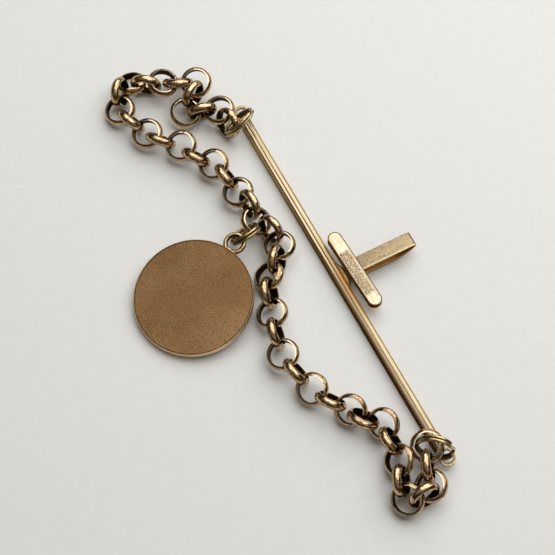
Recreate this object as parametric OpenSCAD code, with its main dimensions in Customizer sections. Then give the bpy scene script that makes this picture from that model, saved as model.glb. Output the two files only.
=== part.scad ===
// Tie bar with its keeper chain and plain disc, lying on its front face.
// Millimetres. The bar runs along X, the clip lies to +Y, the chain to -Y.
// The origin is the middle of the bar's front face, on the surface at z = 0.

/* [Bar] */
// Length over both end tabs
bar_length = 69.4; // [66:0.2:72]
// Width across the front face, the widest part
bar_width = 1.9; // [1.7:0.05:2.1]
// Width of the flat back, which faces up
back_width = 1.3; // [1.1:0.05:1.5]
// Depth from the front face to the back
bar_depth = 1.65; // [1.5:0.05:1.8]
// Width of each end tab
tab_width = 2.5; // [2.4:0.05:2.6]
// Thickness of each end tab, flush with the back
tab_thick = 0.35; // [0.3:0.05:0.45]
// Hole in each end tab
tab_hole = 2; // [1.9:0.05:2.05]

/* [Clip] */
// Width of the spring strip
strip_width = 2.4; // [2:0.1:2.8]
// Thickness of the spring strip
strip_thick = 0.4; // [0.3:0.05:0.5]
// Reach of the strip's fold from the bar's middle line
clip_reach = 13.1; // [12:0.1:14]
// Length of the crosspiece
cross_length = 14.2; // [13:0.1:15]
// Width of the crosspiece
cross_width = 2.3; // [2:0.1:2.6]
// Thickness of the crosspiece
cross_thick = 1.2; // [1:0.1:1.3]

/* [Chain] */
// Inner diameter of a link
link_bore = 4.1; // [4:0.05:4.2]
// Thickness of a link's band at its crown
link_wall = 0.55; // [0.5:0.01:0.6]
// Width of a link's band
link_width = 1.45; // [1.35:0.05:1.5]

/* [Rings] */
// Outer diameter of the ring at each end of the bar
jump_outer = 6.0; // [5.8:0.1:6.2]
// Outer diameter of the ring that carries the disc
pendant_outer = 5.5; // [5.3:0.1:5.7]
// Wire of each of a ring's two turns
turn_wire = 0.46; // [0.4:0.02:0.5]

/* [Disc] */
// Diameter of the disc
disc_diameter = 18.8; // [18.5:0.1:19.5]
// Thickness of the disc
disc_thick = 1.1; // [0.9:0.1:1.3]
// Outer diameter of the eye on the disc's rim
eye_outer = 3.7; // [3.5:0.1:3.9]
// Wire of the eye
eye_wire = 0.75; // [0.7:0.05:0.85]

/* [Hidden] */
$fn = 64;
link_count = 44;

brass = "#b08d57";
pale_gold = "#d8bf8c";
bronze = "#8a6a45";

// Columns of a round piece's row: its middle in plan, its height, the tilt of
// its axis from upright and the compass angle that the axis leans to. A link's
// height is its lift off the surface, any other piece's is its middle's.
PLAN_X = 0;
PLAN_Y = 1;
HEIGHT = 2;
TILT = 3;
TOWARD = 4;
LINKS = [
    [-32.2,  -3.1, 0.0, 68,  -80],
    [-34.9,  -3.3, 1.6, 10,  -90],
    [-36.2,  -5.9, 0.0, 75,  165],
    [-37.5,  -8.2, 0.6, 15,    0],
    [-39.4,  -5.9, 0.2, 85,   30],
    [-41.2,  -4.4, 1.6, 20,  -40],
    [-42.8,  -7.0, 0.3, 55,  155],
    [-43.8,  -9.2, 1.7, 10,   60],
    [-44.9, -11.8, 0.0, 85,  145],
    [-46.6, -13.7, 0.5, 20,  175],
    [-45.5, -16.2, 0.0, 75,   50],
    [-42.9, -17.5, 0.5, 15,  -85],
    [-39.8, -16.9, 0.0, 65,  110],
    [-36.8, -15.5, 0.7, 15,  -60],
    [-34.4, -14.2, 0.0, 60,  130],
    [-32.0, -11.7, 0.9, 20,  -55],
    [-28.9, -10.5, 0.0, 60,  120],
    [-26.5,  -8.6, 0.8, 25,  -65],
    [-23.4,  -7.8, 0.0, 65,   95],
    [-20.2,  -7.4, 1.0, 15,  -90],
    [-17.2,  -6.8, 0.0, 80,  -85],
    [-14.1,  -7.3, 1.1, 20,   50],
    [-11.7,  -5.9, 0.0, 75,  -75],
    [ -8.8,  -5.9, 1.0, 10, -105],
    [ -6.5,  -7.6, 0.0, 70,   50],
    [ -4.9,  -9.8, 0.4, 30, -130],
    [ -2.2, -11.2, 0.0, 65,   65],
    [  1.0, -12.3, 0.8, 20, -110],
    [  4.3, -13.4, 0.0, 70,   75],
    [  7.8, -14.0, 1.0, 15,  -90],
    [ 11.3, -13.6, 0.0, 65,  100],
    [ 14.7, -12.7, 0.5, 25,  -70],
    [ 17.8, -11.2, 0.0, 60,  125],
    [ 20.4,  -9.2, 0.3, 35,  -60],
    [ 22.5,  -8.2, 0.0, 50,  125],
    [ 24.6,  -6.0, 0.4, 35,  -70],
    [ 27.5,  -6.3, 0.0, 60,   90],
    [ 30.7,  -6.8, 0.7, 40, -105],
    [ 33.5,  -8.0, 0.0, 65,   60],
    [ 36.3,  -8.5, 0.5, 30,  -70],
    [ 37.0,  -6.1, 0.0, 75,    0],
    [ 36.1,  -4.4, 0.6, 25, -110],
    [ 33.4,  -3.5, 0.3, 75,   65],
    [ 30.8,  -2.1, 1.7, 20,  -30]
];
JUMP_UPPER = [-31.4, -1.5, 2.8, 55, 205];
JUMP_LOWER = [31.6, -1.3, 3.2, 79, -40];
PENDANT = [-12.7, -10.0, 3.0, 55, 190];
DISC = [-7.0, -21.8, 2.02, 9, -73];

// Compass angle of the eye on the disc, from the way the disc leans
eye_angle = -171;
// How far the solder draws the eye into the rim
eye_sink = 0.5;

// Where the bar's body stops short of a tab's tip, and the tab's hole
body_inset = 3.3;
hole_inset = 1.55;
tab_overlap = 1;
body_half = bar_length / 2 - body_inset;

// Two lengthwise grooves in the back, off the middle line
GROOVES = [-0.22, 0.44];
groove_width = 0.12;
groove_depth = 0.1;

// Heights of the spring strip's middle line: soldered to the bar, at the
// lowest point of its bow, and in the upper leg
solder_height = 1.3;
bow_height = 0.6;
leg_height = 2.8;
bow_reach = 9.2;
fold_r = 0.45;
fold_reach = clip_reach - strip_thick / 2 - fold_r;
fold_height = leg_height - fold_r;
solder_reach = 0.6;
// Radius of the long arc down to the bow's lowest point, then of the arc up
// to the fold, which meets the fold's own arc smoothly
bow_drop = solder_height - bow_height;
down_r = (pow(bow_reach - solder_reach, 2) + pow(bow_drop, 2)) / (2 * bow_drop);
down_sweep = asin((bow_reach - solder_reach) / down_r);
up_span = fold_reach - bow_reach;
up_rise = fold_height - bow_height;
up_r = (pow(up_span, 2) + pow(up_rise, 2) - pow(fold_r, 2)) / (2 * (up_rise - fold_r));
up_sweep = atan2(up_span, up_r - up_rise);

// The crosspiece on the upper leg
cross_top = 3.05;
cross_along = 0.5;
cross_out = 2.4;
cross_turn = 2.3;
cross_edge = 0.18;

// A link's band: flat inside, a dome outside
bore_r = link_bore / 2;
crown_r = bore_r + link_wall;
dome_r = (pow(link_width / 2, 2) + pow(link_wall, 2)) / (2 * link_wall);
dome_half = asin(link_width / 2 / dome_r);

function link_name(i) = str("link_", i < 10 ? "0" : "", i);

// Height of a link's middle when its lowest point lies on the surface
function rest_height(tilt) =
    90 - tilt > dome_half
        ? bore_r * sin(tilt) + link_width / 2 * cos(tilt)
        : (crown_r - dome_r) * sin(tilt) + dome_r;

// Puts a shape made about Z at a row's place, its axis leaning as the row says
module at_row(row, rise = 0) {
    translate([row[PLAN_X], row[PLAN_Y], row[HEIGHT] + rise])
        rotate([0, row[TILT], row[TOWARD]])
            children();
}

module chain_link(row) {
    color(brass)
        at_row(row, rest_height(row[TILT]))
            rotate_extrude()
                intersection() {
                    translate([crown_r - dome_r, 0]) circle(dome_r);
                    translate([bore_r, -link_width]) square(2 * link_width);
                }
}

// A split ring: two turns of round wire side by side
module two_turn_ring(outer) {
    turn_r = outer / 2 - turn_wire / 2;
    turn_pitch = turn_wire * 0.9;
    rotate_extrude() {
        for (side = [-1, 1])
            translate([turn_r, side * turn_pitch / 2]) circle(d = turn_wire, $fn = 24);
        translate([turn_r - turn_wire / 4, -turn_pitch / 2]) square([turn_wire / 2, turn_pitch]);
    }
}

module jump_ring_upper() {
    color(brass) at_row(JUMP_UPPER) two_turn_ring(jump_outer);
}

module jump_ring_lower() {
    color(brass) at_row(JUMP_LOWER) two_turn_ring(jump_outer);
}

module pendant_ring() {
    color(brass) at_row(PENDANT) two_turn_ring(pendant_outer);
}

// The plain disc with its eye soldered to the rim
module disc() {
    edge = 0.15;
    eye_r = eye_outer / 2 - eye_wire / 2;
    eye_reach = disc_diameter / 2 + eye_outer / 2 - eye_sink;
    color(bronze)
        at_row(DISC) {
            rotate_extrude($fn = 128)
                polygon([
                    [0, -disc_thick / 2],
                    [disc_diameter / 2 - edge, -disc_thick / 2],
                    [disc_diameter / 2, -disc_thick / 2 + edge],
                    [disc_diameter / 2, disc_thick / 2 - edge],
                    [disc_diameter / 2 - edge, disc_thick / 2],
                    [0, disc_thick / 2]
                ]);
            rotate([0, 0, eye_angle])
                translate([eye_reach, 0, 0])
                    rotate_extrude()
                        translate([eye_r, 0]) circle(d = eye_wire, $fn = 32);
        }
}

// Turns a shape's X, Y and Z to the bar's Y, Z and X
module across_bar() {
    rotate([90, 0, 90]) children();
}

// The trapezoid body with its grooved back
module bar_body() {
    across_bar()
        translate([0, 0, -body_half])
            linear_extrude(2 * body_half)
                difference() {
                    polygon([
                        [-bar_width / 2, 0],
                        [bar_width / 2, 0],
                        [back_width / 2, bar_depth],
                        [-back_width / 2, bar_depth]
                    ]);
                    for (place = GROOVES)
                        translate([place - groove_width / 2, bar_depth - groove_depth])
                            square([groove_width, 2 * groove_depth]);
                }
}

// A flat tab with a round end and a hole, flush with the back
module end_tab() {
    tab_middle = bar_length / 2 - tab_width / 2;
    tab_start = body_half - tab_overlap;
    cut_over = 1;
    translate([0, 0, bar_depth - tab_thick])
        difference() {
            union() {
                translate([tab_middle, 0, 0]) cylinder(d = tab_width, h = tab_thick);
                linear_extrude(tab_thick)
                    polygon([
                        [tab_start, -back_width / 2],
                        [body_half, -back_width / 2],
                        [tab_middle, -tab_width / 2],
                        [tab_middle, tab_width / 2],
                        [body_half, back_width / 2],
                        [tab_start, back_width / 2]
                    ]);
            }
            translate([bar_length / 2 - hole_inset, 0, -cut_over])
                cylinder(d = tab_hole, h = tab_thick + 2 * cut_over);
        }
}

// Points of an arc about a middle, from one angle on through a sweep
function arc(middle, radius, from, sweep, steps) =
    [for (k = [0:steps]) middle + radius * [cos(from + sweep * k / steps), sin(from + sweep * k / steps)]];

// One face of the spring strip, a distance outside or inside its middle line
function strip_face(out) = concat(
    arc([bow_reach, bow_height + down_r], down_r + out, -90 - down_sweep, down_sweep, 8),
    arc([bow_reach, bow_height + up_r], up_r + out, -90, up_sweep, 8),
    arc([fold_reach, fold_height], fold_r + out, up_sweep - 90, 180 - up_sweep, 12),
    [[cross_out, leg_height + out]]
);

function reversed(points) = [for (k = [len(points) - 1:-1:0]) points[k]];

// The strip from its soldered foot through its bow and fold to the upper leg
module spring_strip() {
    across_bar()
        translate([0, 0, -strip_width / 2])
            linear_extrude(strip_width)
                polygon(concat(
                    strip_face(strip_thick / 2),
                    reversed(strip_face(-strip_thick / 2))
                ));
}

// Solder drawn out along the bar on both sides of the strip's foot
module foot_fillet() {
    flare = 0.8;
    near = 0.5;
    far = 1.6;
    translate([0, 0, solder_height - strip_thick / 2])
        linear_extrude(strip_thick)
            polygon([
                [-strip_width / 2 - flare, near],
                [strip_width / 2 + flare, near],
                [strip_width / 2, far],
                [-strip_width / 2, far]
            ]);
}

module stadium(length, width, thick) {
    half = length / 2 - width / 2;
    for (side = [-1, 1])
        translate([side * half, 0, 0]) cylinder(d = width, h = thick);
    translate([-half, -width / 2, 0]) cube([2 * half, width, thick]);
}

// The crosspiece, its upper edge stepped in a little
module crosspiece() {
    translate([cross_along, cross_out, cross_top - cross_thick])
        rotate([0, 0, cross_turn]) {
            stadium(cross_length, cross_width, cross_thick - cross_edge);
            stadium(cross_length - 2 * cross_edge, cross_width - 2 * cross_edge, cross_thick);
        }
}

module tie_bar() {
    color(pale_gold) {
        bar_body();
        for (turn = [0, 180])
            rotate([0, 0, turn]) end_tab();
        spring_strip();
        foot_fillet();
        crosspiece();
    }
}

tie_bar();
jump_ring_upper();
jump_ring_lower();
pendant_ring();
disc();
for (i = [1:link_count])
    chain_link(LINKS[i - 1]);
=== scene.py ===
"""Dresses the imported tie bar, its keeper chain and its disc, and sets the floor, light and camera.

Pieces are shaped in millimetres, in the part's own frame or about their own axis, and are
brought to metres and to their place when they are settled.
"""

import logging
import math
from contextlib import contextmanager
from dataclasses import dataclass
from enum import Enum
from typing import Callable, Iterator, Sequence

import bmesh
import bpy
import numpy as np
from mathutils import Matrix, Vector

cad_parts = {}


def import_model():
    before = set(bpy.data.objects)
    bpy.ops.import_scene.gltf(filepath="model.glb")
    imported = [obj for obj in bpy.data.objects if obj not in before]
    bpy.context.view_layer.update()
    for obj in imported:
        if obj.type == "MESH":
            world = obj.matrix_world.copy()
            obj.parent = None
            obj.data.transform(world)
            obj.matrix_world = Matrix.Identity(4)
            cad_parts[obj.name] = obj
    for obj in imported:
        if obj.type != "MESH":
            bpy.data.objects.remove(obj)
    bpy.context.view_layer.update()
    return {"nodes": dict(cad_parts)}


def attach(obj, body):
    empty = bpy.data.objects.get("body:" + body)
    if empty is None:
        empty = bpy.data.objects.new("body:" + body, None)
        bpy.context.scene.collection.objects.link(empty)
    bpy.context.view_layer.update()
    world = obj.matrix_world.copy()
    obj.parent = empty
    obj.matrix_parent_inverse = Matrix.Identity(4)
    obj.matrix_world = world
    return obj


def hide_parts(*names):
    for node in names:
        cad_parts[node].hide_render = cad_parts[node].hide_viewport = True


LOG = logging.getLogger("tie_bar")
# Metres in a millimetre
MILLIMETRE = 0.001
# The frame's only body
BODY = "root"
# Vertices nearer than this are merged
MERGE = 0.0005
# A place this near a wall counts as on it
NEAR = 0.02
# A face counts as facing along an axis when its normal has this much of it
FACING = 0.9
Span = tuple[float, float]
Point = tuple[float, float, float]
Colour = tuple[float, float, float]
Test = Callable[[Vector, Vector], bool]
Amount = Callable[[Vector, Vector], float]


def clamp(value: float, low: float = 0.0, high: float = 1.0) -> float:
    """Keeps a value between two bounds."""
    return min(high, max(low, value))


def away(place: Vector) -> float:
    """Gives how far a place is from the Z axis."""
    return math.hypot(place.x, place.y)


class Slot(Enum):
    """The record's material slots."""

    BAR = "bar_gold"
    LINK = "link_gold"
    RING = "ring_gold"
    DISC = "disc_bronze"


class Pick(Enum):
    """What a selection in edit mode takes."""

    FACES = "faces"
    VERTICES = "verts"


class Workpiece:
    """One mesh on the bench: a primitive that is shaped in edit mode and finished with modifiers."""

    def __init__(self, name: str) -> None:
        """Takes the object that was just added.

        Args:
            name: The piece's name.
        """
        self.body = bpy.context.object
        self.body.name = name
        self.body.data.name = name

    @staticmethod
    def clear_bench() -> None:
        """Leaves edit mode and deselects everything."""
        if bpy.context.object and bpy.context.object.mode != "OBJECT":
            bpy.ops.object.mode_set(mode="OBJECT")
        bpy.ops.object.select_all(action="DESELECT")

    @classmethod
    def take(cls, name: str) -> "Workpiece":
        """Takes the primitive that was just added, with its place and size applied to its mesh."""
        bpy.ops.object.transform_apply(location=True, rotation=True, scale=True)
        return cls(name)

    @classmethod
    def block(cls, name: str, low: Point, high: Point) -> "Workpiece":
        """Adds a cube between two corners.

        Args:
            name: The piece's name.
            low: Its lowest corner.
            high: Its highest corner.

        Returns:
            The new piece.
        """
        cls.clear_bench()
        middle = [(a + b) / 2 for a, b in zip(low, high)]
        bpy.ops.mesh.primitive_cube_add(size=1, location=middle)
        bpy.context.object.scale = [b - a for a, b in zip(low, high)]
        return cls.take(name)

    @classmethod
    def drum(cls, name: str, radius: float, depth: float, middle: Point, sides: int = 64) -> "Workpiece":
        """Adds an upright cylinder.

        Args:
            name: The piece's name.
            radius: Its radius.
            depth: Its height.
            middle: Its middle.
            sides: Its number of sides.

        Returns:
            The new piece.
        """
        cls.clear_bench()
        bpy.ops.mesh.primitive_cylinder_add(vertices=sides, radius=radius, depth=depth, location=middle)
        return cls.take(name)

    @classmethod
    def section(cls, name: str, radius: float, reach: float, sides: int) -> "Workpiece":
        """Adds a round section that stands in the XZ plane, ready to be spun about Z.

        Args:
            name: The piece's name.
            radius: The section's radius.
            reach: How far its middle is from the axis.
            sides: Its number of sides.

        Returns:
            The new piece.
        """
        cls.clear_bench()
        bpy.ops.mesh.primitive_circle_add(
            vertices=sides, radius=radius, fill_type="NGON",
            location=(reach, 0, 0), rotation=(math.pi / 2, 0, 0)
        )
        return cls.take(name)

    @classmethod
    def pebble(cls, name: str, fineness: int) -> "Workpiece":
        """Adds a round lump 1 across.

        Args:
            name: The piece's name.
            fineness: How often its faces are subdivided.

        Returns:
            The new piece.
        """
        cls.clear_bench()
        bpy.ops.mesh.primitive_ico_sphere_add(subdivisions=fineness, radius=0.5)
        return cls.take(name)

    def hold(self) -> None:
        """Makes this piece the only selected one and the active one."""
        self.clear_bench()
        self.body.select_set(True)
        bpy.context.view_layer.objects.active = self.body

    @contextmanager
    def edit(self) -> Iterator[None]:
        """Keeps the piece in edit mode, with nothing selected at the start.

        Returns:
            The time in edit mode.
        """
        self.hold()
        bpy.ops.object.mode_set(mode="EDIT")
        bpy.ops.mesh.select_mode(type="VERT")
        bpy.ops.mesh.select_all(action="DESELECT")
        yield
        bpy.ops.object.mode_set(mode="OBJECT")

    def pick(self, kind: Pick, test: Test) -> None:
        """Selects what passes a test of its middle and its normal.

        Args:
            kind: Faces or vertices.
            test: Takes the middle and the normal, and says whether it is selected.
        """
        bpy.ops.mesh.select_all(action="DESELECT")
        bpy.ops.mesh.select_mode(type="FACE" if kind is Pick.FACES else "VERT")
        mesh = bmesh.from_edit_mesh(self.body.data)
        mesh.normal_update()
        for item in getattr(mesh, kind.value):
            middle = item.calc_center_median() if kind is Pick.FACES else item.co
            item.select_set(test(middle, item.normal))
        mesh.select_flush_mode()
        bmesh.update_edit_mesh(self.body.data)

    def slice(self, place: Point, normal: Point, clear_inner: bool = False) -> None:
        """Cuts the whole mesh with a plane.

        Args:
            place: A point of the plane.
            normal: The plane's normal.
            clear_inner: Whether the side behind the plane is removed.
        """
        bpy.ops.mesh.select_all(action="SELECT")
        bpy.ops.mesh.bisect(plane_co=place, plane_no=normal, clear_inner=clear_inner, threshold=MERGE)

    def move(self, step: Point) -> None:
        """Moves what is selected."""
        bpy.ops.transform.translate(value=step)

    def pull(self, step: Point) -> None:
        """Extrudes the selected faces along a step."""
        bpy.ops.mesh.extrude_region_move(TRANSFORM_OT_translate={"value": step})

    def sink(self, width: float, depth: float) -> None:
        """Insets the selected faces as one region.

        Args:
            width: How far the region's edge moves in.
            depth: How far the inner part rises, or sinks where it is negative.
        """
        bpy.ops.mesh.inset(thickness=width, depth=depth, use_boundary=True, use_even_offset=True)

    def hollow(self) -> None:
        """Leaves only the outline of a filled section."""
        bpy.ops.mesh.select_all(action="SELECT")
        bpy.ops.mesh.delete(type="ONLY_FACE")

    def spin(self, steps: int) -> None:
        """Spins an outline about Z and closes the seam.

        Args:
            steps: The number of steps in the full turn.
        """
        bpy.ops.mesh.select_all(action="SELECT")
        bpy.ops.mesh.spin(steps=steps, angle=2 * math.pi, center=(0, 0, 0), axis=(0, 0, 1))
        self.close()

    def close(self) -> None:
        """Merges doubles and turns the faces outwards."""
        bpy.ops.mesh.select_all(action="SELECT")
        bpy.ops.mesh.remove_doubles(threshold=MERGE)
        bpy.ops.mesh.normals_make_consistent(inside=False)

    def modify(self, kind: str, **values: object) -> None:
        """Adds a modifier and applies it.

        Args:
            kind: The modifier's type.
            **values: Its settings.
        """
        self.hold()
        step = self.body.modifiers.new(kind.lower(), kind)
        for key, value in values.items():
            setattr(step, key, value)
        bpy.ops.object.modifier_apply(modifier=step.name)

    def ease(self, width: float, segments: int, angle: float) -> None:
        """Rounds the sharp edges.

        Args:
            width: The width of the rounding.
            segments: Its number of segments.
            angle: Edges sharper than this many degrees are rounded.
        """
        self.modify(
            "BEVEL", width=width, segments=segments, limit_method="ANGLE",
            angle_limit=math.radians(angle), use_clamp_overlap=True
        )

    def smooth(self, angle: float) -> None:
        """Shades the piece smooth up to an angle in degrees."""
        self.hold()
        bpy.ops.object.shade_smooth_by_angle(angle=math.radians(angle))

    def stain(self, name: str, amount: Amount) -> None:
        """Stores a value from 0 to 1 on every vertex, for the finish to read.

        Args:
            name: The attribute's name.
            amount: Takes a vertex's place and normal and gives the value.
        """
        mesh = self.body.data
        layer = mesh.attributes.new(name, "FLOAT", "POINT")
        for vertex, item in zip(mesh.vertices, layer.data):
            item.value = clamp(amount(vertex.co, vertex.normal))

    def copy(self, name: str) -> "Workpiece":
        """Makes a copy with its own mesh.

        Args:
            name: The copy's name.

        Returns:
            The copy.
        """
        self.clear_bench()
        twin = self.body.copy()
        twin.data = self.body.data.copy()
        bpy.context.collection.objects.link(twin)
        bpy.context.view_layer.objects.active = twin
        return Workpiece(name)

    def turn(self, place: Matrix) -> None:
        """Moves and turns the mesh, still in millimetres.

        Args:
            place: The turn and move.
        """
        self.hold()
        self.body.matrix_world = place @ self.body.matrix_world
        bpy.ops.object.transform_apply(location=True, rotation=True, scale=True)

    def settle(self, finish: bpy.types.Material, slot: Slot, nodes: Sequence[str]) -> None:
        """Brings the piece to metres and hands it to the frame.

        Args:
            finish: Its material.
            slot: The record's slot that the finish belongs to; not used.
            nodes: The CAD nodes that it stands for.
        """
        self.turn(Matrix.Scale(MILLIMETRE, 4))
        self.body.data.materials.clear()
        self.body.data.materials.append(finish)
        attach(self.body, BODY)
        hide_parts(*nodes)
        LOG.info("%s: %d faces", self.body.name, len(self.body.data.polygons))

    def discard(self) -> None:
        """Removes the piece."""
        bpy.data.objects.remove(self.body)


class Recipe:
    """Lays out the nodes of one material. Its patterns are measured in millimetres."""

    def __init__(self, name: str) -> None:
        """Starts a material.

        Args:
            name: The material's name.
        """
        self.made = bpy.data.materials.new(name)
        self.made.use_nodes = True
        self.nodes = self.made.node_tree.nodes
        self.links = self.made.node_tree.links
        self.shader = self.nodes["Principled BSDF"]
        self.place = self.add("TexCoord").outputs["Object"]

    def feed(self, socket: bpy.types.NodeSocket, value: object) -> None:
        """Links a socket to an input, or sets the input's own value.

        Args:
            socket: The input.
            value: A socket or a plain value.
        """
        if isinstance(value, bpy.types.NodeSocket):
            self.links.new(value, socket)
        else:
            socket.default_value = value

    def add(self, kind: str, settings: dict | None = None, inputs: dict | None = None) -> bpy.types.Node:
        """Adds a node.

        Args:
            kind: The node's type without its prefix.
            settings: The node's own settings.
            inputs: Values or sockets by input name or number.

        Returns:
            The node.
        """
        node = self.nodes.new("ShaderNode" + kind)
        for key, value in (settings or {}).items():
            setattr(node, key, value)
        for key, value in (inputs or {}).items():
            self.feed(node.inputs[key], value)
        return node

    def grid(self, stretch: Point = (1, 1, 1)) -> bpy.types.NodeSocket:
        """Gives coordinates in millimetres, stretched along each axis."""
        scale = [s / MILLIMETRE for s in stretch]
        return self.add("Mapping", inputs={"Vector": self.place, "Scale": scale}).outputs["Vector"]

    def noise(
        self, per_mm: float, detail: float = 3, rough: float = 0.55, stretch: Point = (1, 1, 1)
    ) -> bpy.types.NodeSocket:
        """Gives a cloudy pattern.

        Args:
            per_mm: How fine it is.
            detail: Its number of octaves.
            rough: How strong the finer octaves are.
            stretch: How often it repeats along each axis.

        Returns:
            The pattern's value.
        """
        node = self.add("TexNoise", inputs={
            "Vector": self.grid(stretch), "Scale": per_mm, "Detail": detail, "Roughness": rough
        })
        return node.outputs["Fac"]

    def spots(self, per_mm: float, size: float) -> bpy.types.NodeSocket:
        """Gives scattered round spots, 1 in their middle and 0 between them.

        Args:
            per_mm: How many cells there are in a millimetre.
            size: The spots' radius as a share of a cell.

        Returns:
            The pattern's value.
        """
        node = self.add("TexVoronoi", inputs={"Vector": self.grid(), "Scale": per_mm, "Randomness": 1.0})
        return self.spread(node.outputs["Distance"], size, 0.0, 0.0, 1.0)

    def spread(
        self, value: object, low: float, high: float, first: float, last: float
    ) -> bpy.types.NodeSocket:
        """Maps a range of a value to another range and clamps it.

        Args:
            value: The socket to map.
            low: The value that becomes first.
            high: The value that becomes last.
            first: The result at low.
            last: The result at high.

        Returns:
            The mapped value.
        """
        node = self.add("MapRange", {"clamp": True}, {
            "Value": value, "From Min": low, "From Max": high, "To Min": first, "To Max": last
        })
        return node.outputs["Result"]

    def mix(self, share: object, first: object, second: object) -> bpy.types.NodeSocket:
        """Mixes two colours.

        Args:
            share: How much of the second is taken.
            first: A colour or a socket.
            second: A colour or a socket.

        Returns:
            The mixed colour.
        """
        ends = [(*c, 1.0) if isinstance(c, tuple) else c for c in (first, second)]
        node = self.add("Mix", {"data_type": "RGBA"}, {0: share, 6: ends[0], 7: ends[1]})
        return node.outputs[2]

    def math(self, operation: str, first: object, second: object) -> bpy.types.NodeSocket:
        """Joins two values with a sum, product or the like."""
        node = self.add("Math", {"operation": operation, "use_clamp": False}, {0: first, 1: second})
        return node.outputs[0]

    def stain(self, name: str) -> bpy.types.NodeSocket:
        """Reads a value that was stored on the mesh."""
        return self.add("Attribute", {"attribute_name": name}).outputs["Fac"]

    def bump(
        self, height: bpy.types.NodeSocket, depth: float, under: bpy.types.NodeSocket | None = None
    ) -> bpy.types.NodeSocket:
        """Makes a relief.

        Args:
            height: The relief's pattern, from 0 to 1.
            depth: Its depth in millimetres.
            under: A relief that it is laid over.

        Returns:
            The bent normal.
        """
        inputs = {"Height": height, "Distance": depth * MILLIMETRE, "Strength": 1.0}
        if under:
            inputs["Normal"] = under
        return self.add("Bump", inputs=inputs).outputs["Normal"]

    def finish(self, **inputs: object) -> bpy.types.Material:
        """Feeds the shader and gives the material.

        Args:
            **inputs: The shader's inputs by name, with underscores for spaces.

        Returns:
            The material.
        """
        for key, value in inputs.items():
            label = key.replace("_", " ")
            if isinstance(value, tuple) and len(value) == 3:
                value = (*value, 1.0)
            self.feed(self.shader.inputs[label], value)
        return self.made


@dataclass(frozen=True)
class ChainGold:
    """Polished crowns with painted shade on their flanks and a painted highlight on their rims, over a
    nearly black tarnish and painted shade on the links' inner walls.
    """

    crown: Colour = (0.50, 0.32, 0.16)
    worn: Colour = (0.71, 0.53, 0.33)
    grime_and_shade: Colour = (0.088, 0.038, 0.014)
    inside: Colour = (0.022, 0.011, 0.005)
    lip: Colour = (0.64, 0.49, 0.31)
    polish: Span = (0.07, 0.19)
    tarnish_roughness: float = 0.55
    dent_depth: float = 0.10
    grain_depth: float = 0.004

    def material(self) -> bpy.types.Material:
        """Builds the material.

        Returns:
            The material.
        """
        mix = Recipe("chain_gold")
        cloud = mix.noise(0.9, 4)
        patch = mix.spread(mix.noise(1.7, 5, 0.65), 0.52, 0.68, 0.0, 0.75)
        colour = mix.mix(mix.spread(cloud, 0.35, 0.65, 0.0, 1.0), self.crown, self.worn)
        colour = mix.mix(patch, colour, self.grime_and_shade)
        # Painted shade: the crowns darken towards their flanks.
        flank = mix.math("MULTIPLY", mix.stain("flank"), mix.spread(cloud, 0.3, 0.6, 0.45, 0.95))
        colour = mix.mix(flank, colour, self.grime_and_shade)
        # The inner walls are painted nearly black: tarnish and painted shade.
        tarnish_and_shade = mix.stain("tarnish_and_shade")
        colour = mix.mix(tarnish_and_shade, colour, self.inside)
        # Painted highlight: the rims are painted lighter, as polish that catches the light.
        colour = mix.mix(mix.stain("lip"), colour, self.lip)
        polish = mix.spread(mix.noise(2.2, 4), 0.3, 0.7, *self.polish)
        dull = mix.spread(tarnish_and_shade, 0.0, 1.0, 0.0, self.tarnish_roughness)
        roughness = mix.math("MAXIMUM", polish, dull)
        dents = mix.bump(mix.noise(1.3, 3), self.dent_depth)
        grain = mix.bump(mix.noise(14, 2), self.grain_depth, dents)
        return mix.finish(Base_Color=colour, Roughness=roughness, Metallic=1.0, Normal=grain)


@dataclass(frozen=True)
class WireGold:
    """Drawn wire of the split rings, greener than the links, with tarnish and painted shade between its
    turns.
    """

    bright: Colour = (0.62, 0.48, 0.26)
    dull: Colour = (0.33, 0.225, 0.10)
    grime_and_shade: Colour = (0.06, 0.04, 0.022)
    polish: Span = (0.16, 0.34)
    grain_depth: float = 0.008

    def material(self) -> bpy.types.Material:
        """Builds the material.

        Returns:
            The material.
        """
        mix = Recipe("wire_gold")
        colour = mix.mix(mix.spread(mix.noise(1.2, 4), 0.4, 0.62, 0.0, 1.0), self.bright, self.dull)
        # Tarnish and painted shade between the turns and on their inside.
        colour = mix.mix(mix.stain("tarnish_and_shade"), colour, self.grime_and_shade)
        roughness = mix.spread(mix.noise(2.5, 3), 0.3, 0.7, *self.polish)
        grain = mix.bump(mix.noise(9, 3), self.grain_depth)
        return mix.finish(Base_Color=colour, Roughness=roughness, Metallic=1.0, Normal=grain)


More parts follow.
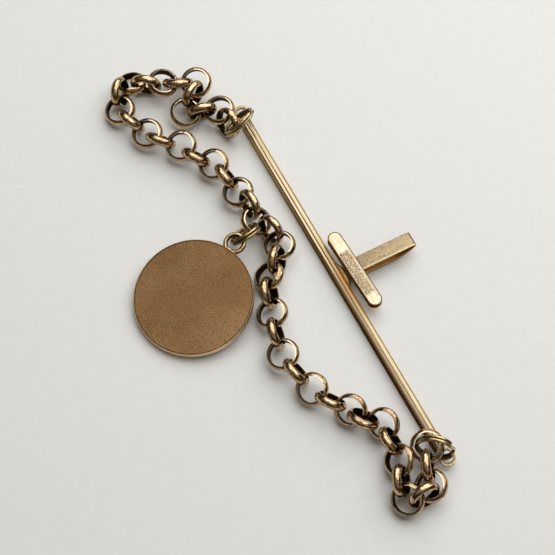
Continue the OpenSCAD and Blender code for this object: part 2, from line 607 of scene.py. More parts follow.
@dataclass(frozen=True)
class PlateGold:
    """Pale gold plate of the bar and its clip, drawn lengthwise, brown where dirt lodges and where shade is
    painted, with painted highlights and reflections.
    """

    name: str = "bar_plate"
    pale: Colour = (0.395, 0.33, 0.215)
    warm: Colour = (0.36, 0.265, 0.145)
    heated: Colour = (0.24, 0.105, 0.024)
    bright: Colour = (0.95, 0.78, 0.50)
    glance: Colour = (0.50, 0.33, 0.20)
    grime_and_shade: Colour = (0.075, 0.033, 0.011)
    polish: float = 0.22
    streaks: Point = (0.12, 3.0, 3.0)
    streak_depth: float = 0.010
    pits: float = 0.0
    pit_depth: float = 0.05
    stipple: float = 0.0
    stipple_depth: float = 0.16
    ridge_width: float = 0.12
    ridge_floor: float = 0.22
    polish_range: float = 0.16

    def material(self) -> bpy.types.Material:
        """Builds the material.

        Returns:
            The material.
        """
        mix = Recipe(self.name)
        streak = mix.noise(1.0, 3, 0.5, self.streaks)
        colour = mix.mix(mix.spread(streak, 0.40, 0.62, 0.0, 0.8), self.pale, self.warm)
        roughness = mix.spread(streak, 0.3, 0.7, self.polish, self.polish + self.polish_range)
        relief = mix.bump(mix.noise(2.5, 3, 0.5, self.streaks), self.streak_depth)
        if self.pits:
            pit = mix.spots(0.8, 0.16)
            pit = mix.math("MULTIPLY", pit, mix.spread(mix.noise(0.8, 2), 0.46, 0.52, 0.0, 1.0))
            colour = mix.mix(mix.math("MULTIPLY", pit, self.pits), colour, self.grime_and_shade)
            relief = mix.bump(mix.math("SUBTRACT", 1.0, pit), self.pit_depth, relief)
        if self.stipple:
            area = mix.stain("stipple")
            grain = mix.noise(3.4, 2, 0.5)
            apart = mix.math("ABSOLUTE", mix.math("SUBTRACT", grain, 0.5), 0.0)
            ridge = mix.spread(apart, 0.0, self.ridge_width, 1.0, self.ridge_floor)
            worn = mix.math("MULTIPLY", area, mix.math("MULTIPLY", ridge, self.stipple))
            colour = mix.mix(worn, colour, self.heated)
            relief = mix.bump(mix.math("MULTIPLY", area, grain), self.stipple_depth, relief)
        # Painted highlights and reflections, the solder's heat tint, then dirt and painted shade.
        for name, tone in (("bright", self.bright), ("scorch", self.heated), ("grime_and_shade", self.grime_and_shade)):
            colour = mix.mix(mix.stain(name), colour, tone)
        return mix.finish(
            Base_Color=colour, Roughness=roughness, Metallic=1.0, Normal=relief, Specular_Tint=self.glance
        )


@dataclass(frozen=True)
class DiscBronze:
    """Matte brown patina with a fine grain, a painted highlight on the rim and painted shade towards the
    top.
    """

    middle: Colour = (0.240, 0.132, 0.057)
    light: Colour = (0.312, 0.188, 0.088)
    speck_and_shade: Colour = (0.055, 0.028, 0.012)
    rim: Colour = (0.86, 0.62, 0.37)
    polish: Span = (0.50, 0.38)
    grain_depth: float = 0.06

    def material(self) -> bpy.types.Material:
        """Builds the material.

        Returns:
            The material.
        """
        mix = Recipe("disc_bronze")
        cloud = mix.spread(mix.noise(0.10, 3, 0.5), 0.38, 0.62, 0.0, 1.0)
        colour = mix.mix(cloud, self.middle, self.light)
        grain = mix.noise(5.0, 3, 0.7)
        colour = mix.mix(mix.spread(grain, 0.50, 0.66, 0.0, 0.75), colour, self.speck_and_shade)
        # Painted shade: darker towards the disc's top.
        colour = mix.mix(mix.stain("top_shade"), colour, self.speck_and_shade)
        fleck = mix.math("MULTIPLY", mix.spots(1.3, 0.16), mix.stain("edge"))
        colour = mix.mix(fleck, colour, self.speck_and_shade)
        colour = mix.mix(mix.stain("grime_and_shade"), colour, self.speck_and_shade)
        # Painted highlight on the rim.
        colour = mix.mix(mix.stain("rim"), colour, self.rim)
        roughness = mix.spread(grain, 0.3, 0.7, *self.polish)
        relief = mix.bump(mix.noise(4.5, 4, 0.7), self.grain_depth)
        return mix.finish(Base_Color=colour, Roughness=roughness, Metallic=1.0, Normal=relief)


@dataclass(frozen=True)
class PaleSurface:
    """The plain pale surface that the object lies on."""

    tone: Colour = (0.79, 0.789, 0.768)
    mottle: float = 0.975
    roughness: float = 0.75
    grain_depth: float = 0.006

    def material(self) -> bpy.types.Material:
        """Builds the material.

        Returns:
            The material.
        """
        mix = Recipe("pale_surface")
        grain = mix.noise(0.6, 4, 0.6)
        darker = tuple(c * self.mottle for c in self.tone)
        colour = mix.mix(mix.spread(grain, 0.35, 0.65, 0.0, 1.0), self.tone, darker)
        relief = mix.bump(mix.noise(3.0, 3), self.grain_depth)
        return mix.finish(Base_Color=colour, Roughness=self.roughness, Normal=relief)


@dataclass
class RoundPlace:
    """Where a round CAD node lies, in millimetres."""

    middle: Vector
    axis: Vector

    @classmethod
    def of(cls, node: bpy.types.Object) -> "RoundPlace":
        """Measures a ring from its surface.

        Args:
            node: The ring's CAD node.

        Returns:
            Its middle and its axis.
        """
        mesh = node.data
        mesh.calc_loop_triangles()
        points = np.zeros(len(mesh.vertices) * 3)
        mesh.vertices.foreach_get("co", points)
        points = points.reshape(-1, 3) / MILLIMETRE
        corners = np.zeros(len(mesh.loop_triangles) * 3, int)
        mesh.loop_triangles.foreach_get("vertices", corners)
        triangles = points[corners.reshape(-1, 3)]
        area = np.linalg.norm(
            np.cross(triangles[:, 1] - triangles[:, 0], triangles[:, 2] - triangles[:, 0]), axis=1
        )
        centres = triangles.mean(axis=1)
        middle = (centres * area[:, None]).sum(axis=0) / area.sum()
        apart = centres - middle
        spread = (apart * area[:, None]).T @ apart
        axis = np.linalg.eigh(spread)[1][:, 0]
        if axis[2] < 0:
            axis = -axis
        return cls(Vector(middle), Vector(axis))

    def matrix(self, turn: float = 0.0) -> Matrix:
        """Puts a shape made about Z here.

        Args:
            turn: Its turn about its own axis in degrees.

        Returns:
            The placing matrix.
        """
        tilt = self.axis.to_track_quat("Z", "Y").to_matrix().to_4x4()
        return Matrix.Translation(self.middle) @ tilt @ Matrix.Rotation(math.radians(turn), 4, "Z")


@dataclass
class KeeperChain:
    """The belcher links: a flat inner wall, a domed crown and a thin polished rim between them."""

    bore: float = 4.1
    wall: float = 0.55
    width: float = 1.45
    rim: float = 0.13
    rim_slice: float = 1.3
    flank_start: float = 0.45
    flank_slope: float = 2.2
    sides: int = 44
    steps: int = 72
    turn_step: float = 137.5

    def pattern(self) -> Workpiece:
        """Models one link about Z.

        Returns:
            The link.
        """
        inner = self.bore / 2
        reach = self.width / 2
        dome = (reach ** 2 + self.wall ** 2) / (2 * self.wall)
        link = Workpiece.section("link_pattern", dome, inner + self.wall - dome, self.sides)
        with link.edit():
            link.slice((inner, 0, 0), (1, 0, 0), clear_inner=True)
            link.pick(Pick.VERTICES, lambda co, _: co.x < inner + NEAR)
            bpy.ops.mesh.bevel(offset=self.rim, affect="VERTICES", offset_type="WIDTH")
            link.hollow()
            for side in (-1, 1):
                link.slice((0, 0, side * (reach - self.rim_slice * self.rim)), (0, 0, 1))
            link.spin(self.steps)
        link.smooth(35)
        edge = reach - self.rim
        # Tarnish and painted shade on the inner walls.
        link.stain("tarnish_and_shade", lambda co, _: float(abs(co.z) < edge and away(co) < inner + NEAR))
        # Painted highlight on the rims.
        link.stain("lip", lambda co, _: float(abs(co.z) > edge and away(co) < inner + self.rim))
        # Painted shade on the flanks.
        link.stain("flank", lambda co, _: self.flank_slope * (abs(co.z) / reach - self.flank_start))
        return link

    def build(self, nodes: dict[str, bpy.types.Object], finish: bpy.types.Material) -> None:
        """Copies the link to every link node.

        Args:
            nodes: The CAD nodes by name.
            finish: The links' material.
        """
        pattern = self.pattern()
        for number, name in enumerate(sorted(n for n in nodes if n.startswith("link_"))):
            link = pattern.copy("chain_" + name)
            link.turn(RoundPlace.of(nodes[name]).matrix(number * self.turn_step))
            link.settle(finish, Slot.LINK, [name])
        pattern.discard()


@dataclass
class SplitRing:
    """Two turns of wire side by side, with a crossing where one turn passes to the other."""

    node: str
    outer: float
    seam: float
    wire: float
    pitch: float
    crossing: float = 34.0
    steps: int = 84
    shade_height: float = 0.3
    darkening_start: float = 0.55
    shade_slope: float = 1.4

    def path(self) -> list[Point]:
        """Gives the points that the wire follows, about Z.

        Returns:
            The points, from one end of the wire to the other.
        """
        reach = self.outer / 2 - self.wire / 2
        sweep = 720 - self.crossing
        points = []
        for step in range(2 * self.steps + 1):
            angle = sweep * step / (2 * self.steps)
            share = clamp((angle - 360 + self.crossing) / self.crossing)
            height = self.pitch * (share * share * (3 - 2 * share) - 0.5)
            turn = math.radians(angle + self.seam)
            points.append((reach * math.cos(turn), reach * math.sin(turn), height))
        return points

    def build(self, nodes: dict[str, bpy.types.Object], finish: bpy.types.Material) -> None:
        """Models the ring and puts it at its node.

        Args:
            nodes: The CAD nodes by name.
            finish: The ring's material.
        """
        Workpiece.clear_bench()
        line = bpy.data.curves.new("wire", "CURVE")
        line.dimensions = "3D"
        line.bevel_depth = self.wire / 2
        line.bevel_resolution = 4
        line.use_fill_caps = True
        points = self.path()
        run = line.splines.new("POLY")
        run.points.add(len(points) - 1)
        for point, place in zip(run.points, points):
            point.co = (*place, 1.0)
        held = bpy.data.objects.new("wire", line)
        bpy.context.collection.objects.link(held)
        bpy.context.view_layer.objects.active = held
        held.select_set(True)
        bpy.ops.object.convert(target="MESH")
        ring = Workpiece("split_" + self.node)
        with ring.edit():
            ring.close()
        ring.smooth(50)
        # Tarnish and painted shade between the turns and on their inside.
        ring.stain("tarnish_and_shade", self.turn_shade)
        ring.turn(RoundPlace.of(nodes[self.node]).matrix())
        ring.settle(finish, Slot.RING, [self.node])

    def turn_shade(self, place: Vector, _: Vector) -> float:
        """Gives the tarnish and painted shade between the turns and on their inside.

        Args:
            place: A vertex's place.

        Returns:
            The dirt's share.
        """
        inward = self.outer / 2 - self.wire / 2 - away(place)
        between = 1.0 - abs(place.z) / (self.shade_height * self.pitch)
        inside = (inward / self.wire * 2 - self.darkening_start) * self.shade_slope
        return max(between, inside)


@dataclass
class TieBar:
    """The bar with its tabs, and the folded spring clip with its crosspiece."""

    length: float = 69.4
    width: float = 1.9
    back: float = 1.3
    depth: float = 1.65
    inset: float = 3.3
    slices: int = 24
    grooves: Span = (-0.22, 0.44)
    groove_width: float = 0.12
    groove_depth: float = 0.1
    tab_width: float = 2.5
    tab_thick: float = 0.35
    tab_hole: float = 2.0
    tab_overlap: float = 0.15
    tab_shade_reach: float = 0.12
    hole_inset: float = 1.55
    bead_pitch: float = 0.46
    bead_size: Point = (0.30, 0.17, 1.15)
    bead_lean: float = 24.0
    bead_inset: float = 0.3
    bead_sink: float = 0.01
    bead_top_light: float = 0.05
    darkening_start: float = -5.0
    darkening_run: float = 6.0
    engraved_shade: float = 0.70
    engraved_gain: float = 0.8
    engraved_range: Span = (0.1, 0.97)
    side_reflection_run: float = 20.0
    side_reflection_most: float = 0.8
    scorch_middle: float = 1.5
    scorch_reach: float = 8.0
    scorch_most: float = 0.85
    scorch_edge: float = -0.2
    strip_width: float = 2.4
    strip_thick: float = 0.4
    strip_edge: float = 0.14
    reach: float = 13.1
    bow_height: float = 0.6
    leg_height: float = 2.8
    bow_reach: float = 9.2
    bow_steps: int = 14
    rise_steps: int = 12
    fold_radius: float = 0.45
    fold_shade: float = 0.2
    solder_height: float = 1.3
    solder_reach: float = 0.6
    solder_sides: Span = (0.45, 1.75)
    solder_middle: float = 0.55
    solder_flare: tuple[Span, ...] = (
        (4.4, 0.04), (3.6, 0.08), (2.8, 0.14), (2.0, 0.25), (1.5, 0.42), (1.15, 1.0)
    )
    cross_length: float = 14.2
    cross_width: float = 2.3
    cross_thick: float = 1.2
    cross_top: float = 3.05
    cross_out: float = 2.4
    cross_along: float = 0.5
    cross_turn: float = 2.3
    cross_rim: Span = (0.17, 0.05)
    cross_cut: float = 0.5
    cross_rows: tuple[float, ...] = (-0.6, 0.0, 0.6)
    wall_groove: Span = (0.30, 0.45)
    wall_groove_depth: float = 0.08
    stipple_span: Span = (-3.4, 4.6)
    stipple_side: float = 0.85
    stipple_faint: float = 0.12

    def side(self, height: float) -> float:
        """Gives the bar's half width at a height."""
        return self.width / 2 - (self.width - self.back) / 2 * height / self.depth

    def beam(self) -> Workpiece:
        """Models the grooved bar between its tabs.

        Returns:
            The bar.
        """
        half = self.length / 2 - self.inset
        beam = Workpiece.block("bar_body", (-half, -self.width / 2, 0), (half, self.width / 2, self.depth))
        edges = [g + side * self.groove_width / 2 for g in self.grooves for side in (-1, 1)]
        with beam.edit():
            beam.pick(Pick.VERTICES, lambda co, _: co.z > self.depth / 2)
            bpy.ops.transform.resize(value=(1, self.back / self.width, 1))
            for place in edges:
                beam.slice((0, place, 0), (0, 1, 0))
            beam.pick(Pick.FACES, lambda co, no: no.z > FACING and self.in_groove(co.y))
            beam.pull((0, 0, -self.groove_depth))
        beam.ease(0.07, 2, 30)
        with beam.edit():
            for step in range(1, self.slices):
                beam.slice((-half + 2 * half * step / self.slices, 0, 0), (1, 0, 0))
        beam.smooth(35)
        wall = self.depth - 0.1
        # Dirt and painted shade on the back and in the grooves, painted shade on the engraved side.
        beam.stain("grime_and_shade", self.bar_grime_and_shade)
        # Painted reflection on the engraved side, strongest at the upper end.
        beam.stain("bright", lambda co, _: self.side_reflection(co.x) if co.y < 0 and co.z < wall else 0.0)
        beam.stain("scorch", self.scorch)
        return beam

    def in_groove(self, place: float) -> bool:
        """Says whether a place across the back lies in a groove."""
        return any(abs(place - g) < self.groove_width / 2 for g in self.grooves)

    def bar_grime_and_shade(self, place: Vector, _: Vector) -> float:
        """Gives the dirt and painted shade on the back, in its grooves and on the two sides; the engraved
        side's darkening is painted shade.

        Args:
            place: A vertex's place.

        Returns:
            The dirt's share.
        """
        spread = clamp((place.x - self.darkening_start) / self.darkening_run)
        if place.z > self.depth - NEAR:
            return 0.6 * spread if place.y < self.grooves[0] else 0.0
        if place.z > self.depth - self.groove_depth - NEAR:
            return 0.9 - 0.7 * spread if place.y < 0 else 0.3
        return self.engraved(place.x) if place.y < 0 else 0.3

    def engraved(self, along: float) -> float:
        """Gives the painted shade on the engraved side, which grows from the upper end to the lower one."""
        share = self.engraved_shade + self.engraved_gain * along / (self.length / 2)
        return clamp(share, *self.engraved_range)

    def side_reflection(self, along: float) -> float:
        """Gives the painted reflection that lightens the side, which fades from the upper end to the clip.
        """
        return clamp(-along / self.side_reflection_run, 0.0, self.side_reflection_most)

    def scorch(self, place: Vector, _: Vector) -> float:
        """Gives the orange tint that the soldering left beside the clip's foot."""
        along = (place.x - self.scorch_middle) / self.scorch_reach
        return self.scorch_most * (1 - along * along) if place.y > self.scorch_edge else 0.0

    def beading(self) -> Workpiece:
        """Models the slanting beads along the bar's engraved side.

        Returns:
            The row of beads.
        """
        half = self.length / 2 - self.inset - self.bead_inset
        bead = Workpiece.pebble("bar_beading", 2)
        slope = math.atan2((self.width - self.back) / 2, self.depth)
        height = self.depth * 0.5
        lean = Matrix.Rotation(math.radians(self.bead_lean), 4, "Y")
        tilt = Matrix.Rotation(-slope, 4, "X")
        place = Matrix.Translation((-half, -self.side(height) + self.bead_sink, height))
        bead.turn(place @ tilt @ lean @ Matrix.Diagonal((*self.bead_size, 1)))
        bead.modify(
            "ARRAY", count=int(2 * half / self.bead_pitch), use_relative_offset=False,
            use_constant_offset=True, constant_offset_displace=(self.bead_pitch, 0, 0)
        )
        bead.smooth(60)
        # Painted shade on the beads, lighter on their upward faces.
        bead.stain("grime_and_shade", lambda co, no: self.engraved(co.x) - self.bead_top_light * max(0.0, no.z))
        # Painted reflection on the beads, strongest at the upper end.
        bead.stain("bright", lambda co, _: self.side_reflection(co.x))
        return bead

    def tab(self, turn: float) -> Workpiece:
        """Models an end tab: a ring of metal round the hole, drawn out to the bar.

        Args:
            turn: 0 for the lower end, 180 for the upper end.

        Returns:
            The tab.
        """
        rim = self.tab_width / 2
        hole = self.length / 2 - self.hole_inset
        tip = self.length / 2 - rim
        root = self.length / 2 - self.inset
        bottom = self.depth - self.tab_thick
        lift = 1.0
        Workpiece.clear_bench()
        bpy.ops.mesh.primitive_circle_add(
            vertices=48, radius=self.tab_hole / 2, fill_type="NOTHING", location=(hole, 0, bottom)
        )
        tab = Workpiece.take("bar_tab_lower" if turn == 0 else "bar_tab_upper")
        with tab.edit():
            bpy.ops.mesh.select_all(action="SELECT")
            # The outer edge is lifted while it is shaped, to tell it from the hole's edge
            share = self.tab_width / self.tab_hole
            tab.pull((tip - hole, 0, lift))
            bpy.ops.transform.resize(value=(share, share, 1), center_override=(tip, 0, bottom))
            tab.pick(Pick.VERTICES, lambda co, _: co.z > bottom + lift / 2 and co.x < tip - NEAR)
            tab.move((root - tip, 0, 0))
            shrink = (self.tab_overlap / rim, self.back / self.tab_width, 1)
            bpy.ops.transform.resize(value=shrink, center_override=(root, 0, bottom))
            tab.pick(Pick.VERTICES, lambda co, _: co.z > bottom + lift / 2)
            tab.move((0, 0, -lift))
            bpy.ops.mesh.select_all(action="SELECT")
            bpy.ops.mesh.normals_make_consistent(inside=False)
            tab.pull((0, 0, self.tab_thick))
            tab.close()
        tab.ease(0.06, 2, 40)
        tab.smooth(35)
        tab.turn(Matrix.Rotation(math.radians(turn), 4, "Z"))
        edge = self.tab_hole / 2 + self.tab_shade_reach
        side = 1 if turn == 0 else -1
        # Painted shade round the hole.
        tab.stain("grime_and_shade", lambda co, _: 0.8 if math.hypot(co.x * side - hole, co.y) < edge else 0.1)
        return tab

    @staticmethod
    def arc(middle: Span, radius: float, first: float, last: float, steps: int) -> list[Span]:
        """Lays points on a circle, with angles from straight below its middle.

        Args:
            middle: The circle's middle, across the bar and upwards.
            radius: Its radius.
            first: The first point's angle in radians.
            last: The last point's angle.
            steps: The number of steps between them.

        Returns:
            The points.
        """
        angles = [first + (last - first) * step / steps for step in range(steps + 1)]
        return [(middle[0] + radius * math.sin(a), middle[1] - radius * math.cos(a)) for a in angles]

    def strip_line(self) -> list[Span]:
        """Lays out the spring strip's middle line, from its foot to the end of its upper leg.

        Returns:
            The line's points, across the bar and upwards.
        """
        drop = self.solder_height - self.bow_height
        run = self.bow_reach - self.solder_reach
        down = (run ** 2 + drop ** 2) / (2 * drop)
        fold_y = self.reach - self.strip_thick / 2 - self.fold_radius
        fold_z = self.leg_height - self.fold_radius
        span, rise, turn = fold_y - self.bow_reach, fold_z - self.bow_height, self.fold_radius
        up = (span ** 2 + rise ** 2 - turn ** 2) / (2 * (rise - turn))
        second = math.atan2(span, up - rise)
        bow = (self.bow_reach, self.bow_height + down)
        climb = (self.bow_reach, self.bow_height + up)
        line = self.arc(bow, down, -math.asin(run / down), 0.0, self.bow_steps)
        line += self.arc(climb, up, 0.0, second, self.rise_steps)[1:]
        line += self.arc((fold_y, fold_z), turn, second, math.pi, self.bow_steps)[1:]
        return line + [(self.cross_out, self.leg_height)]

    def spring(self) -> Workpiece:
        """Models the folded spring strip.

        Returns:
            The strip.
        """
        line = self.strip_line()
        half = self.strip_width / 2
        front = -0.5
        Workpiece.clear_bench()
        bpy.ops.mesh.primitive_plane_add(size=1)
        spring = Workpiece.take("clip_spring")
        with spring.edit():
            spring.pick(Pick.VERTICES, lambda co, _: co.y > 0)
            bpy.ops.mesh.delete(type="VERT")
            bpy.ops.mesh.select_all(action="SELECT")
            bpy.ops.transform.resize(value=(self.strip_width, 1, 1), center_override=(0, front, 0))
            spring.move((0, line[0][0] - front, line[0][1]))
            for here, there in zip(line, line[1:]):
                spring.pull((0, there[0] - here[0], there[1] - here[1]))
            spring.close()
        spring.modify("SOLIDIFY", thickness=self.strip_thick, offset=0, use_even_offset=True)
        spring.ease(0.07, 2, 50)
        with spring.edit():
            spring.slice((half - self.strip_edge, 0, 0), (1, 0, 0))
        spring.smooth(40)
        edge = self.leg_height - self.strip_thick
        # Painted shade on the lower run, at the fold and along one edge of the upper leg.
        spring.stain("grime_and_shade", self.spring_shade)
        spring.stain("scorch", lambda co, _: 1.0 if co.z < self.leg_height - 0.5 else 0.0)
        # Painted highlight along the other edge of the upper leg.
        spring.stain("bright", lambda co, _: 1.0 if co.x > half - 0.1 and co.z > edge else 0.0)
        return spring

    def spring_shade(self, place: Vector, _: Vector) -> float:
        """Gives the painted shade on the strip's lower run, along one edge of its upper leg and at its
        fold.

        Args:
            place: A vertex's place.

        Returns:
            The dirt's share.
        """
        if place.z > self.leg_height - 0.05:
            edge = place.x < 0.05 - self.strip_width / 2
            return 0.8 if edge or place.y > self.reach - self.fold_shade else 0.0
        return 0.25

    def solder(self) -> Workpiece:
        """Models the solder that flares out along the bar beside the strip's foot.

        Returns:
            The solder.
        """
        top = self.solder_height + self.strip_thick / 2
        low = top - self.strip_thick
        half = self.solder_flare[0][0]
        near, far = self.solder_sides
        solder = Workpiece.block("clip_solder", (-half, near, low), (half, far, top))
        with solder.edit():
            for cut, _ in reversed(self.solder_flare[1:]):
                for side in (-1, 1):
                    solder.slice((cut * side, 0, 0), (1, 0, 0))
            for cut, share in self.solder_flare[:-1]:
                solder.pick(Pick.VERTICES, lambda co, _, w=cut: co.y > 1 and abs(abs(co.x) - w) < NEAR)
                bpy.ops.transform.resize(value=(1, share, 1), center_override=(0, self.solder_middle, 0))
        solder.modify("SUBSURF", levels=2, render_levels=2)
        solder.smooth(60)
        solder.stain("grime_and_shade", lambda co, _: 0.45)
        return solder

    def crosspiece(self) -> Workpiece:
        """Models the rounded crosspiece with a groove round its wall.

        Returns:
            The crosspiece, at its place.
        """
        low = self.cross_top - self.cross_thick
        radius = self.cross_width / 2
        middle = self.cross_top - self.cross_thick / 2
        piece = Workpiece.drum("clip_crosspiece", radius, self.cross_thick, (0, 0, middle))
        stretch = self.cross_length / 2 - radius
        first, last = self.wall_groove
        with piece.edit():
            for side in (-1, 1):
                piece.pick(Pick.VERTICES, lambda co, _, s=side: co.x * s > 0.001)
                piece.move((side * stretch, 0, 0))
            piece.pick(Pick.FACES, lambda _, no: no.z > FACING)
            for width in self.cross_rim:
                piece.sink(width, 0)
            for level in self.wall_groove:
                piece.slice((0, 0, low + level), (0, 0, 1))
            piece.pick(Pick.FACES, lambda co, no: abs(no.z) < 0.5 and low + first < co.z < low + last)
            bpy.ops.mesh.extrude_region_shrink_fatten(
                TRANSFORM_OT_shrink_fatten={"value": -self.wall_groove_depth}
            )
        piece.ease(0.09, 3, 40)
        with piece.edit():
            for step in range(-12, 13):
                piece.slice((step * self.cross_cut, 0, 0), (1, 0, 0))
            for row in self.cross_rows:
                piece.slice((0, row, 0), (0, 1, 0))
        piece.smooth(35)
        # Painted shade on the upper wall, in the groove and round the top.
        piece.stain("grime_and_shade", self.wall_shade)
        # Painted highlight on the wall below the groove.
        piece.stain("bright", lambda co, _: 1.0 if co.z < low + first - NEAR else 0.0)
        piece.stain("stipple", self.stippled)
        turn = Matrix.Rotation(math.radians(self.cross_turn), 4, "Z")
        piece.turn(Matrix.Translation((self.cross_along, self.cross_out, 0)) @ turn)
        return piece

    def wall_shade(self, place: Vector, _: Vector) -> float:
        """Gives the painted shade on the crosspiece: on its wall, black in its groove, and round its top.

        Args:
            place: A vertex's place.

        Returns:
            The dirt's share.
        """
        radius = self.cross_width / 2
        along = max(0.0, abs(place.x) - self.cross_length / 2 + radius)
        inward = radius - math.hypot(along, place.y)
        first, last = (self.cross_top - self.cross_thick + level for level in self.wall_groove)
        if inward > 0.06 and first - NEAR < place.z < last + NEAR:
            return 1.0
        if place.z > self.cross_top - 0.03:
            return 0.9 if inward < 0.19 else 0.0
        return 0.95 if last + NEAR <= place.z else 0.0

    def stippled(self, place: Vector, _: Vector) -> float:
        """Gives the stippled field: most of the top, short of the upper end.

        Args:
            place: A vertex's place.

        Returns:
            1 in the field, less beside it and 0 below the top.
        """
        if place.z < self.cross_top - 0.05:
            return 0.0
        first, last = self.stipple_span
        inside = first < place.x < last and abs(place.y) < self.stipple_side
        return 1.0 if inside else self.stipple_faint

    def build(self) -> None:
        """Builds and dresses all pieces of the bar."""
        plate = PlateGold().material()
        leaf = PlateGold(
            name="clip_plate", pale=(0.36, 0.28, 0.17), warm=(0.31, 0.235, 0.135),
            heated=(0.62, 0.33, 0.11), streaks=(3.5, 2.5, 3.5), polish=0.42, pits=1.0
        ).material()
        cross = PlateGold(
            name="crosspiece_plate", pale=(0.455, 0.415, 0.305), warm=(0.42, 0.33, 0.19),
            heated=(0.165, 0.085, 0.030), streaks=(0.4, 1.2, 1.0), polish=0.24, pits=0.6, stipple=0.9
        ).material()
        solder = PlateGold(
            name="solder_gold", pale=(0.34, 0.19, 0.07), warm=(0.24, 0.11, 0.03), polish=0.25
        ).material()
        self.beam().settle(plate, Slot.BAR, ["tie_bar"])
        self.beading().settle(plate, Slot.BAR, ["tie_bar"])
        for turn in (0, 180):
            self.tab(turn).settle(plate, Slot.BAR, ["tie_bar"])
        self.spring().settle(leaf, Slot.BAR, ["tie_bar"])
        self.solder().settle(solder, Slot.BAR, ["tie_bar"])
        self.crosspiece().settle(cross, Slot.BAR, ["tie_bar"])


@dataclass
class Disc:
    """The plain disc with its eye soldered to the rim."""

    diameter: float = 18.8
    thick: float = 1.1
    sides: int = 180
    eye_outer: float = 3.7
    eye_wire: float = 0.75
    eye_sides: int = 20
    eye_steps: int = 64
    eye_angle: float = -171.0
    eye_sink: float = 0.5
    edge_round: float = 0.07
    rim_width: float = 0.15
    line_steps: tuple[tuple[float, float], ...] = ((0.04, -0.03), (0.05, 0.0), (0.04, 0.03))
    line_reach: Span = (0.10, 0.27)
    rim_highlight_reach: float = 0.1
    rim_highlight_range: Span = (0.15, 1.0)
    face_rings: int = 6
    face_ring_width: float = 1.4
    top_shade: float = 0.2
    fleck_reach: float = 2.6
    lump_size: Point = (1.3, 2.5, 0.9)
    lump_height: float = 0.18
    lump_grain: float = 0.6
    lump_sink: float = 0.25
    place: Point = (-7.0, -21.8, 2.02)
    tilt: float = 9.0
    toward: float = -73.0

    def frame(self) -> Matrix:
        """Puts a shape made about Z at the disc's place.

        Returns:
            The placing matrix.
        """
        turn = Matrix.Rotation(math.radians(self.toward), 4, "Z")
        lean = Matrix.Rotation(math.radians(self.tilt), 4, "Y")
        return Matrix.Translation(self.place) @ turn @ lean

    def plate(self) -> Workpiece:
        """Models the disc: a soft rim, a fine line inside it and a flat face.

        Returns:
            The disc, about Z.
        """
        radius = self.diameter / 2
        plate = Workpiece.drum("disc_plate", radius, self.thick, (0, 0, 0), self.sides)
        with plate.edit():
            for side in (-1, 1):
                plate.pick(Pick.FACES, lambda _, no, s=side: no.z * s > FACING)
                plate.sink(self.rim_width, 0)
                for width, depth in self.line_steps:
                    plate.sink(width, depth)
                for _ in range(self.face_rings):
                    plate.sink(self.face_ring_width, 0)
        plate.ease(self.edge_round, 3, 60)
        plate.smooth(33)
        # Painted highlight on the rim.
        plate.stain("rim", self.rim_highlight)
        plate.stain("grime_and_shade", self.line_darkening)
        # Painted shade towards the disc's top.
        plate.stain("top_shade", lambda co, _: self.top_shade * (-co.x - 0.8 * co.y) / radius)
        plate.stain("edge", lambda co, _: 1.0 if away(co) > radius - self.fleck_reach else 0.15)
        return plate

    def rim_highlight(self, place: Vector, _: Vector) -> float:
        """Gives the painted highlight on the rim: most on its lower side, hardly beside the eye.

        Args:
            place: A vertex's place.

        Returns:
            The bright share.
        """
        radius = self.diameter / 2
        if radius - away(place) > self.rim_highlight_reach:
            return 0.0
        return clamp(0.5 + 1.6 * place.x / radius, *self.rim_highlight_range)

    def line_darkening(self, place: Vector, _: Vector) -> float:
        """Darkens the fine line inside the rim."""
        first, last = self.line_reach
        return 0.9 if first < self.diameter / 2 - away(place) < last else 0.0

    def eye(self) -> Workpiece:
        """Models the eye, with tarnish and painted shade on its inside.

        Returns:
            The eye, at its place.
        """
        reach = self.eye_outer / 2 - self.eye_wire / 2
        eye = Workpiece.section("disc_eye", self.eye_wire / 2, reach, self.eye_sides)
        with eye.edit():
            eye.hollow()
            eye.spin(self.eye_steps)
        eye.smooth(60)
        # Tarnish and painted shade on the eye's inside.
        eye.stain("tarnish_and_shade", lambda co, _: 1.2 - 2.0 * (away(co) - reach + 0.3) / 0.6)
        eye.turn(self.eye_frame())
        return eye

    def eye_frame(self, short: float = 0.0) -> Matrix:
        """Puts a shape made about Z at the eye's place, or short of it.

        Args:
            short: How far it stays nearer to the disc.

        Returns:
            The placing matrix.
        """
        out = self.diameter / 2 + self.eye_outer / 2 - self.eye_sink - short
        turn = Matrix.Rotation(math.radians(self.eye_angle), 4, "Z")
        return self.frame() @ turn @ Matrix.Translation((out, 0, 0))

    def solder(self) -> Workpiece:
        """Models the lump of solder between the eye and the rim.

        Returns:
            The lump, at its place.
        """
        lump = Workpiece.pebble("disc_solder", 3)
        lump.turn(Matrix.Diagonal((*self.lump_size, 1)))
        grain = bpy.data.textures.new("lumps", "CLOUDS")
        grain.noise_scale = self.lump_grain
        lump.modify(
            "DISPLACE", texture=grain, strength=self.lump_height, mid_level=0.5, texture_coords="LOCAL"
        )
        lump.smooth(60)
        # Tarnish and painted shade, darker towards the lump's ends.
        lump.stain("tarnish_and_shade", lambda co, _: 0.25 + 0.6 * abs(co.y))
        lump.turn(self.eye_frame(self.eye_outer / 2 - self.lump_sink))
        return lump

    def build(self, bronze: bpy.types.Material, wire: bpy.types.Material) -> None:
        """Builds and dresses the disc.

        Args:
            bronze: The plate's material.
            wire: The eye's material.
        """
        plate = self.plate()
        plate.turn(self.frame())
        plate.settle(bronze, Slot.DISC, ["disc"])
        self.eye().settle(wire, Slot.DISC, ["disc"])
        self.solder().settle(wire, Slot.DISC, ["disc"])


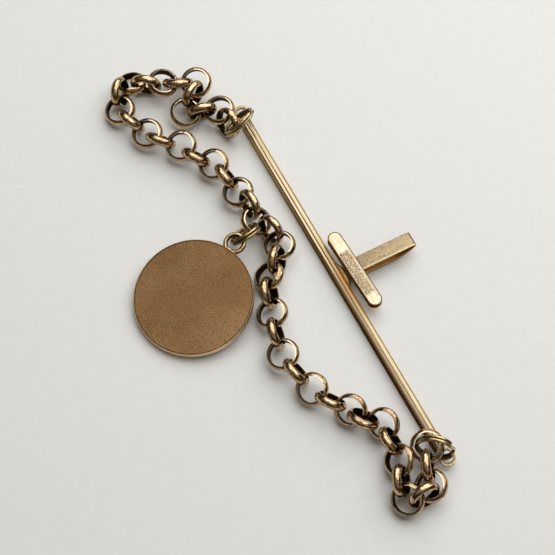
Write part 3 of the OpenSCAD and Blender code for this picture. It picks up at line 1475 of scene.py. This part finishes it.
@dataclass
class Studio:
    """The pale surface, the soft light and the camera."""

    azimuth: float = 62.38
    elevation: float = 65.0
    distance: float = 240.0
    aim: Point = (-4.909, -8.283, 0.0)
    pixels_per_mm: float = 6.379
    picture: int = 555
    sensor: float = 36.0
    field_size: float = 1200.0
    clip: Span = (0.005, 10.0)
    room_light: float = 1.0
    room: tuple[tuple[float, Colour], ...] = (
        (0.0, (0.03, 0.023, 0.016)), (0.95, (0.35, 0.328, 0.29)),
        (0.30, (0.04, 0.032, 0.024)), (0.62, (0.12, 0.11, 0.095))
    )

    def sight(self) -> tuple[Vector, Vector, Vector]:
        """Finds where the camera's axes point.

        Returns:
            Its right, its up and its backward direction.
        """
        turn, lift = math.radians(self.azimuth), math.radians(self.elevation)
        right = Vector((math.cos(turn), math.sin(turn), 0))
        ahead = Vector((-math.sin(turn), math.cos(turn), 0))
        back = -ahead * math.cos(lift) + Vector((0, 0, math.sin(lift)))
        return right, back.cross(right), back

    def camera(self) -> None:
        """Adds the camera at the photograph's viewing angle."""
        right, up, back = self.sight()
        lens = bpy.data.cameras.new("photo_view")
        lens.sensor_width = self.sensor
        lens.lens = self.sensor * self.pixels_per_mm * self.distance / self.picture
        lens.clip_start, lens.clip_end = self.clip
        eye = (Vector(self.aim) + back * self.distance) * MILLIMETRE
        view = bpy.data.objects.new("photo_view", lens)
        view.matrix_world = Matrix.Translation(eye) @ Matrix((right, up, back)).transposed().to_4x4()
        bpy.context.scene.collection.objects.link(view)
        bpy.context.scene.camera = view

    def lamp(self, name: str, ahead: float, aside: float, height: float, size: float, watts: float) -> None:
        """Adds a soft square light that faces the object.

        Args:
            name: The light's name.
            ahead: How far it stands towards the picture's top, in millimetres.
            aside: How far it stands to the picture's right.
            height: How high it stands.
            size: The length of its side.
            watts: Its power.
        """
        right, _, back = self.sight()
        flat = Vector((-back.x, -back.y, 0)).normalized()
        place = flat * ahead + right * aside + Vector((0, 0, height))
        light = bpy.data.lights.new(name, "AREA")
        light.size = size * MILLIMETRE
        light.energy = watts
        held = bpy.data.objects.new(name, light)
        held.location = place * MILLIMETRE
        held.rotation_euler = (-place).to_track_quat("-Z", "Y").to_euler()
        bpy.context.scene.collection.objects.link(held)

    def surroundings(self) -> None:
        """Sets the dim room that the metal mirrors."""
        world = bpy.data.worlds.new("room")
        world.use_nodes = True
        nodes, links = world.node_tree.nodes, world.node_tree.links
        way = nodes.new("ShaderNodeTexCoord")
        parts = nodes.new("ShaderNodeSeparateXYZ")
        links.new(way.outputs["Generated"], parts.inputs["Vector"])
        rise = nodes.new("ShaderNodeValToRGB")
        stops = rise.color_ramp.elements
        for stop, (height, tone) in zip(stops, self.room[:2]):
            stop.position, stop.color = height, (*tone, 1)
        for height, tone in self.room[2:]:
            stops.new(height).color = (*tone, 1)
        links.new(parts.outputs["Z"], rise.inputs["Fac"])
        sky = nodes["Background"]
        links.new(rise.outputs["Color"], sky.inputs["Color"])
        sky.inputs["Strength"].default_value = self.room_light
        bpy.context.scene.world = world

    def surface(self) -> None:
        """Lays the pale surface at height 0."""
        Workpiece.clear_bench()
        bpy.ops.mesh.primitive_plane_add(size=self.field_size)
        plane = Workpiece("pale_surface")
        plane.turn(Matrix.Scale(MILLIMETRE, 4))
        plane.body.data.materials.append(PaleSurface().material())

    def build(self) -> None:
        """Sets the stage."""
        self.camera()
        self.surroundings()
        self.surface()
        self.lamp("window", ahead=205, aside=128, height=345, size=600, watts=2.72)
        self.lamp("fill", ahead=-240, aside=160, height=260, size=200, watts=0.03)
        bpy.context.scene.view_settings.view_transform = "Standard"


def main() -> None:
    """Builds every piece in order and notes the sizes."""
    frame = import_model()
    nodes = frame["nodes"]
    LOG.info("%d nodes", len(nodes))
    Studio().build()
    chain = ChainGold().material()
    wire = WireGold().material()
    TieBar().build()
    KeeperChain().build(nodes, chain)
    for ring in (
        SplitRing("jump_ring_upper", outer=6.0, seam=150, wire=0.54, pitch=0.47),
        SplitRing("jump_ring_lower", outer=6.0, seam=40, wire=0.56, pitch=0.50),
        SplitRing("pendant_ring", outer=5.5, seam=200, wire=0.58, pitch=0.52)
    ):
        ring.build(nodes, wire)
    Disc().build(DiscBronze().material(), wire)


if __name__ == "__main__":
    logging.basicConfig(level=logging.INFO, format="%(message)s")
    main()
